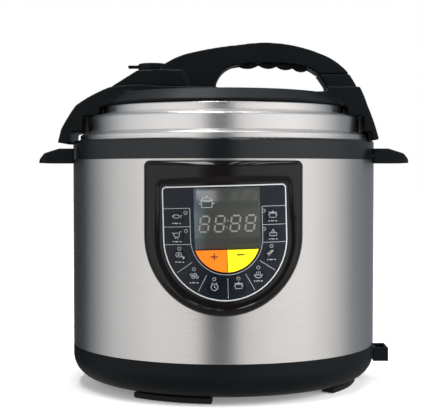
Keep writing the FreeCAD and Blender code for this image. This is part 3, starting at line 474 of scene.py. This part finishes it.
# The longest run that a printed stroke takes across the drum without a bend.
LONGEST_RUN = 3.0


class Print:
    """Raised printed marks gathered into one piece on a drum of given radius.

    Marks with an origin are drawn about it at the icons' scale; the others follow the panel's turn.
    """

    def __init__(self, radius, height=0.12, origin=None):
        self.radius = radius
        self.height = height
        self.origin = origin
        self.points = []
        self.faces = []

    def put(self, spot, radius):
        if self.origin:
            across = self.origin[0] + spot[0] * ICON_SCALE
            up = self.origin[1] + spot[1] * ICON_SCALE
        else:
            across, up = tilted(*spot)
        self.points.append(on_drum(across, up, radius))

    def stroke(self, path, width, closed=False):
        """A flat band along a path, with square ends."""
        fine = []
        ends = path + path[:1] if closed else path
        for start, end in zip(ends, ends[1:]):
            fine += line(start, end, max(1, math.ceil(abs(end[0] - start[0]) / LONGEST_RUN)))
        if not closed:
            fine.append(path[-1])
        first = len(self.points)
        count = len(fine)
        for index, (x, z) in enumerate(fine):
            before = fine[index - 1] if closed or index else fine[index]
            after = fine[(index + 1) % count] if closed or index < count - 1 else fine[index]
            along = Vector((after[0] - before[0], after[1] - before[1])).normalized()
            side = Vector((-along.y, along.x)) * (width / 2)
            for share, level in ((-1, 0), (-0.8, 1), (0.8, 1), (1, 0)):
                spot = (x + side.x * share, z + side.y * share)
                self.put(spot, self.radius + self.height * level)
        for face in loop_faces(count, 4, closed):
            self.faces.append(tuple(first + corner for corner in face))

    def patch(self, outline):
        """A filled shape with a low edge; it must be convex."""
        first = len(self.points)
        for level in (0, 1):
            for spot in outline:
                self.put(spot, self.radius + self.height * level)
        for face in loop_faces(2, len(outline), False):
            self.faces.append(tuple(first + corner for corner in face))

    def ring(self, x, z, radius, width, steps):
        self.stroke(circle(x, z, radius, steps), width, True)

    def disc(self, x, z, radius, steps=14):
        self.patch(circle(x, z, radius, steps))

    def make(self, name, material, body="root"):
        return add_piece(name, self.points, self.faces, material, body, False)


def draw_fish(mark):
    mark.stroke(circle(-0.4, 1.4, 2.3, 18, flat=0.5), 0.42, True)
    mark.stroke([(1.9, 1.4), (3.2, 2.5), (3.2, 0.3)], 0.42, True)
    mark.disc(-1.6, 1.7, 0.35, 8)


def draw_bird(mark):
    mark.stroke(circle(-0.3, 1.1, 1.9, 16, flat=0.75), 0.42, True)
    mark.stroke([(1.2, 2.0), (2.0, 3.4), (3.0, 3.3)], 0.45)
    mark.stroke([(-2.0, 1.6), (-3.3, 2.8)], 0.5)
    mark.stroke([(-0.8, -0.4), (-1.2, -1.4)], 0.4)
    mark.stroke([(0.3, -0.4), (0.6, -1.4)], 0.4)


def draw_joint(mark):
    mark.stroke(circle(-0.8, 1.6, 1.9, 16, flat=0.8), 0.45, True)
    mark.disc(-0.8, 1.6, 0.6)
    mark.stroke([(0.9, 0.9), (2.6, -0.3)], 0.8)
    mark.disc(2.9, -0.1, 0.5, 8)
    mark.disc(2.5, -0.7, 0.5, 8)


def draw_beans(mark):
    for x, z in ((-1.7, 2.0), (0.7, 2.4), (-0.6, 0.4), (1.9, 0.6)):
        mark.stroke(circle(x, z, 0.95, 12, flat=0.8), 0.42, True)


def draw_clock(mark):
    mark.stroke(circle(0, 0.4, 2.2, 20), 0.45, True)
    mark.stroke([(0, 1.9), (0, 0.4), (1.2, -0.3)], 0.42)
    mark.stroke([(-2.0, 2.7), (-1.1, 3.3)], 0.42)
    mark.stroke([(1.1, 3.3), (2.0, 2.7)], 0.42)


def draw_steam(mark):
    for x in (-1.2, 0.0, 1.2):
        mark.stroke([(x, 1.2), (x + 0.35, 1.8), (x - 0.2, 2.4), (x + 0.2, 3.1)], 0.34)


def draw_bowl(mark):
    mark.stroke([(-2.9, 0.8), (2.9, 0.8)], 0.45)
    mark.stroke(circle(0, 0.8, 2.4, 12, 180, 180, 0.8), 0.45)
    draw_steam(mark)


def draw_pot(mark):
    mark.stroke([(-2.2, 1.8), (-2.2, -0.9), (2.2, -0.9), (2.2, 1.8)], 0.45, True)
    mark.stroke([(-2.8, 2.4), (2.8, 2.4)], 0.5)
    mark.stroke([(-3.1, 0.9), (-2.3, 0.9)], 0.5)
    mark.stroke([(2.3, 0.9), (3.1, 0.9)], 0.5)
    mark.disc(0, 3.1, 0.45, 8)


def draw_cake(mark):
    mark.stroke([(-2.4, 0.9), (-2.4, -1.0), (2.4, -1.0), (2.4, 0.9)], 0.45, True)
    mark.stroke([(-1.2, 1.0), (-1.0, 2.0), (1.0, 2.0), (1.2, 1.0)], 0.42)
    mark.disc(0, 2.9, 0.5, 8)


def draw_leaf(mark):
    mark.stroke(circle(0.9, 0.0, 2.9, 10, 80, 75) + circle(-2.6, 3.5, 2.9, 10, 260, 75), 0.42, True)
    mark.stroke([(-2.2, -1.0), (0.8, 2.2)], 0.36)


ICONS = {
    "key_left_1": draw_fish,
    "key_left_2": draw_bird,
    "key_left_3": draw_joint,
    "key_low_left": draw_beans,
    "key_bottom_left": draw_clock,
    "key_bottom_right": draw_pot,
    "key_low_right": draw_bowl,
    "key_right_3": draw_leaf,
    "key_right_2": draw_cake,
    "key_right_1": draw_pot,
}


def node_centre(name):
    low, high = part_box(name)
    return (low.x + high.x) / 2 / MM, (low.z + high.z) / 2 / MM


def key_front(name):
    """Radius of a key's face, read from its box."""
    low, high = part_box(name)
    near = 0.0 if low.x < 0 < high.x else min(abs(low.x), abs(high.x)) / MM
    return math.hypot(low.y / MM, near) + 0.01


def make_key_marks():
    """A pictogram on every function key and, but for the two lowest, a row of plain ticks below."""
    tick_widths, pitch, first, height = (0.9, 1.3, 0.7, 1.1), 1.55, -2.9, -3.2
    for name, draw in ICONS.items():
        mark = Print(key_front(name), 0.1, node_centre(name))
        draw(mark)
        if "bottom" not in name:
            for index, width in enumerate(tick_widths):
                start = first + pitch * index
                mark.stroke([(start, height), (start + width, height)], 0.75)
        mark.make(name + "_mark", MATERIALS["print_grey"], name + "_button")


def lamp_places():
    """A lamp beside each key of the upper rows and above each of the others."""
    above_key = 7.0
    places = []
    for side in (-1, 1):
        places += [(PANEL_X + side * 32.1, height) for height in (164.1, 149.1)]
        places.append((PANEL_X + side * 38.0, 134.7))
    for turn in map(math.radians, KEY_ARC_ANGLES):
        x = PANEL_X + KEY_ARC_RADIUS * math.cos(turn)
        places.append((x, PANEL_Z + KEY_ARC_RADIUS * math.sin(turn) + above_key))
    return places


def make_panel_lines():
    """White border, the display field's outline, dividers between the keys, and lamp rings."""
    face = OVERLAY_FRONT + 0.02
    border = Print(face)
    border.stroke(shield(50.9, 185.4, PANEL_Z, 3.0, PANEL_X), 1.0, True)
    border.make("panel_border", MATERIALS["print_white"])

    thin = Print(face, 0.1)
    bend = circle(FIELD_X, PANEL_Z, FIELD_HALF, 40, 180, 180)
    top = ROW_LINES[0]
    thin.stroke([(FIELD_X - FIELD_HALF, top)] + bend + [(FIELD_X + FIELD_HALF, top)], 0.5)
    for side in (-1, 1):
        for height in ROW_LINES:
            thin.stroke([(PANEL_X + side * 50.4, height), (FIELD_X + side * 29.9, height)], 0.45)
        for angle in (34, 61.5):
            across = side * math.cos(math.radians(angle))
            down = math.sin(math.radians(angle))
            ends = [(PANEL_X + reach * across, PANEL_Z - reach * down) for reach in (33.5, 48.5)]
            thin.stroke(ends, 0.45)
    thin.stroke([(FIELD_X, PANEL_Z - 32.5), (FIELD_X, PANEL_Z - 49.0)], 0.4)
    for x, z in lamp_places():
        thin.ring(x, z, 1.35, 0.42, 16)
    thin.make("panel_fine_lines", MATERIALS["print_grey"])


DIGIT_WIDE, DIGIT_TALL, DIGIT_LEAN = 7.2, 12.8, 0.16
DIGIT_LOW = 148.0


def digit_bars(left):
    """Seven slanted bars of one numeral cell."""
    wide, middle, tall, gap = DIGIT_WIDE, DIGIT_TALL / 2, DIGIT_TALL, 0.9
    bars = [((gap, z), (wide - gap, z)) for z in (tall, middle, 0.0)]
    for x in (0.0, wide):
        bars += [((x, middle + gap), (x, tall - gap)), ((x, gap), (x, middle - gap))]
    return [[(left + x + DIGIT_LEAN * z, DIGIT_LOW + z) for x, z in bar] for bar in bars]


def make_display():
    """Unlit numerals and a colon, printed on the window."""
    digits = Print(WINDOW_FRONT + 0.02, 0.08)
    for left in (-19.8, -7.2, 5.6, 18.0):
        for bar in digit_bars(left):
            digits.stroke(bar, 1.4)
    for height in (151.4, 156.8):
        digits.disc(2.7 + (height - DIGIT_LOW) * DIGIT_LEAN, height, 0.7, 10)
    digits.make("display_numerals", MATERIALS["unlit_segment"])


def make_signs():
    """Bold plus and minus signs: on each, the middle, half its width, half its height, its stroke."""
    signs = (
        ("plus_sign", "key_plus", -10.6, 127.4, 3.0, 2.8, 1.0),
        ("minus_sign", "key_minus", 11.1, 128.6, 3.1, 0, 1.15),
    )
    for name, key, shift, z, wide, tall, width in signs:
        x = FIELD_X + shift
        sign = Print(key_front(key), 0.1)
        sign.stroke([(x - wide, z), (x + wide, z)], width)
        if tall:
            sign.stroke([(x, z + tall), (x, z - tall)], width)
        sign.make(name, MATERIALS["sign_brown"], key + "_button")


def make_emblem():
    """A plain covered-pot pictogram above the display."""
    mark = Print(OVERLAY_FRONT + 0.02, 0.1)
    x, z = -12.8, 171.6
    rim, foot = z + 1.4, z - 3.6
    mark.stroke([(x - 4.6, rim), (x - 4.2, foot), (x + 4.2, foot), (x + 4.6, rim)], 0.7, True)
    mark.stroke(circle(x, z + 2.3, 4.4, 12, 0, 180, 0.5), 0.7)
    mark.stroke([(x - 5.4, z + 2.3), (x + 5.4, z + 2.3)], 0.7)
    mark.disc(x, z + 5.4, 0.8, 10)
    for side in (-1, 1):
        mark.stroke([(x + side * 4.8, z - 0.4), (x + side * 6.4, z - 0.4)], 0.9)
    mark.make("panel_emblem", MATERIALS["print_grey"])


# ---------------------------------------------------------------- sensor spring


def make_spring():
    """Coil under the temperature sensor."""
    low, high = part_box("sensor_spring")
    wire = 0.7 * MM
    reach = (high.x - low.x) / 2 - wire
    turns, steps, sides = 5.5, 132, 10
    points = []
    for step in range(steps + 1):
        angle = 2 * math.pi * turns * step / steps
        out = Vector((math.cos(angle), math.sin(angle), 0))
        rise = low.z + wire + (high.z - low.z - 2 * wire) * step / steps
        for side in range(sides):
            spin = 2 * math.pi * side / sides
            spot = out * (reach + wire * math.cos(spin))
            points.append((spot.x, spot.y, rise + wire * math.sin(spin)))
    faces = loop_faces(steps + 1, sides, False)
    coil = add_piece("sensor_coil", points, faces, MATERIALS["inner_steel"])
    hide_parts("sensor_spring")
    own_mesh(coil)


# ---------------------------------------------------------------- camera, light and floor


def make_camera():
    """Long lens at the front, a little below the lid's height, looking slightly down."""
    down, left = math.radians(1.72), math.radians(0.59)
    lens = bpy.data.cameras.new("camera")
    lens.lens = 93.2
    lens.sensor_width = 36.0
    camera = bpy.data.objects.new("camera", lens)
    camera.location = (0, -1.04875, 0.1967)
    camera.rotation_euler = (math.pi / 2 - down, 0, left)
    bpy.context.scene.collection.objects.link(camera)
    bpy.context.scene.camera = camera


# Level of the surround by azimuth in degrees; zero is straight ahead of the panel and the
# right is positive.
WALL_BANDS = [
    (-180, 0.45), (-168, 0.12), (-150, 0.04), (-128, 0.060), (-110, 0.33), (-88, 0.70), (-50, 0.96),
    (-19, 0.94), (-9, 0.15), (4, 0.13), (13, 0.86), (38, 1.04), (62, 1.08), (86, 0.80),
    (112, 0.31), (140, 0.20), (165, 0.24), (180, 0.45),
]
UPPER_BANDS = [
    (-180, 0.3), (-90, 0.45), (-45, 0.5), (-28, 0.3), (-17, 0.10), (12, 0.08), (30, 0.35),
    (50, 0.5), (95, 0.5), (180, 0.3),
]
# Level by how far right a direction points, for strip lamps that run front to back.
CEILING_STRIPS = [
    (-1.0, 0.3), (-0.26, 0.3), (-0.22, 9.0), (-0.09, 9.0), (-0.07, 0.1), (0.05, 0.1),
    (0.058, 3.5), (0.078, 3.5), (0.084, 0.15), (0.13, 0.15), (0.138, 3.5), (0.158, 3.5),
    (0.164, 0.15), (0.18, 2.5), (0.192, 2.5), (0.2, 0.15), (0.25, 0.2), (0.262, 6.0),
    (0.288, 6.0), (0.3, 0.3), (1.0, 0.3),
]
FLOOR_GLOW = (0.30, 0.30, 0.30, 1)


def bands(nodes, source, reach, stops):
    """Level by a value that runs from -reach to reach, bluer where it is dark."""
    limit = stops[-1][0]
    ramp = nodes.node("ValToRGB")
    elements = ramp.color_ramp.elements
    while len(elements) < len(stops):
        elements.new(0.5)
    for element, (place, level) in zip(elements, stops):
        element.position = (place + limit) / (2 * limit)
        shade = min(1.0, 0.76 + level * 0.28)
        element.color = (level * shade, level * (0.5 + shade / 2), level, 1)
    nodes.link(nodes.remap(source, 0.0, 1.0, -reach, reach), ramp.inputs["Fac"])
    return ramp.outputs["Color"]


def make_world():
    """Pale walls with darker gaps in front, at the sides and behind, and lamps overhead."""
    world = bpy.data.worlds.new("studio")
    world.use_nodes = True
    nodes = Nodes(world.node_tree)
    split = nodes.node("SeparateXYZ")
    nodes.link(nodes.node("TexCoord").outputs["Generated"], split.inputs[0])
    right, back, height = (split.outputs[axis] for axis in "XYZ")
    azimuth = nodes.step("ARCTAN2", right, nodes.step("MULTIPLY", back, -1.0))
    walls = bands(nodes, azimuth, math.pi, WALL_BANDS)
    upper = bands(nodes, azimuth, math.pi, UPPER_BANDS)
    strips = bands(nodes, right, 1.0, CEILING_STRIPS)
    above = nodes.blend(nodes.remap(height, 0.0, 1.0, 0.45, 0.62, True), walls, upper)
    ceiling = nodes.blend(nodes.remap(height, 0.0, 1.0, 0.78, 0.88, True), above, strips)
    total = nodes.blend(nodes.remap(height, 1.0, 0.0, -0.5, -0.22, True), ceiling, FLOOR_GLOW)
    background = nodes.tree.nodes["Background"]
    nodes.link(total, background.inputs["Color"])
    background.inputs["Strength"].default_value = 1.0
    bpy.context.scene.world = world


STAGE_RADIUS = 6.0


def add_stage(name, shape, material):
    """A stage piece from a finished shape; no surface mirrors it."""
    mesh = bpy.data.meshes.new(name)
    shape.to_mesh(mesh)
    shape.free()
    mesh.materials.append(material)
    thing = bpy.data.objects.new(name, mesh)
    thing.visible_glossy = False
    bpy.context.scene.collection.objects.link(thing)
    return thing


def make_floor():
    """Pale floor, just below the feet."""
    paint = Shader("floor_paint", (0.93, 0.93, 0.93), 0.6)
    paint.set("Emission Color", (1, 1, 1, 1))
    paint.set("Emission Strength", 0.22)
    paint.vary_colour(paint.noise(3.0), 0.995, 1.005)
    shape = bmesh.new()
    bmesh.ops.create_circle(shape, cap_ends=True, segments=64, radius=STAGE_RADIUS)
    add_stage("floor", shape, paint.material).location.z = -0.5 * MM


def make_surround():
    """Pale wall all round, which the camera sees and which lights and shades nothing."""
    glow = bpy.data.materials.new("surround_paint")
    glow.use_nodes = True
    glow.node_tree.nodes.clear()
    nodes = Nodes(glow.node_tree)
    light = nodes.node("Emission", Color=(1, 1, 1, 1))
    nodes.link(light.outputs[0], nodes.node("OutputMaterial").inputs[0])
    shape = bmesh.new()
    bmesh.ops.create_uvsphere(shape, u_segments=48, v_segments=24, radius=STAGE_RADIUS)
    wall = add_stage("surround", shape, glow)
    wall.visible_diffuse = False
    wall.visible_transmission = False
    wall.visible_shadow = False


def make_lights():
    """Broad soft boxes: a strong one to the right, weak ones to the left and overhead."""
    boxes = (
        ("left_box", (-1.5, -1.3, 1.3), 1.1, 8),
        ("right_box", (1.7, -0.75, 0.85), 1.2, 50),
        ("top_box", (0.0, -0.2, 2.0), 1.4, 12),
    )
    middle = Vector((0, 0, 0.15))
    for name, spot, size, power in boxes:
        lamp = bpy.data.lights.new(name, "AREA")
        lamp.shape = "SQUARE"
        lamp.size = size
        lamp.energy = power
        light = bpy.data.objects.new(name, lamp)
        light.location = spot
        light.rotation_euler = (middle - Vector(spot)).to_track_quat("-Z", "Y").to_euler()
        light.visible_camera = False
        light.visible_glossy = False
        bpy.context.scene.collection.objects.link(light)


make_camera()
make_world()
make_floor()
make_surround()
make_lights()
finish_nodes()
soften_mouldings()
make_bezel()
make_field()
make_panel_lines()
make_key_marks()
make_display()
make_signs()
make_emblem()
make_spring()
bpy.context.scene.view_settings.view_transform = "Standard"
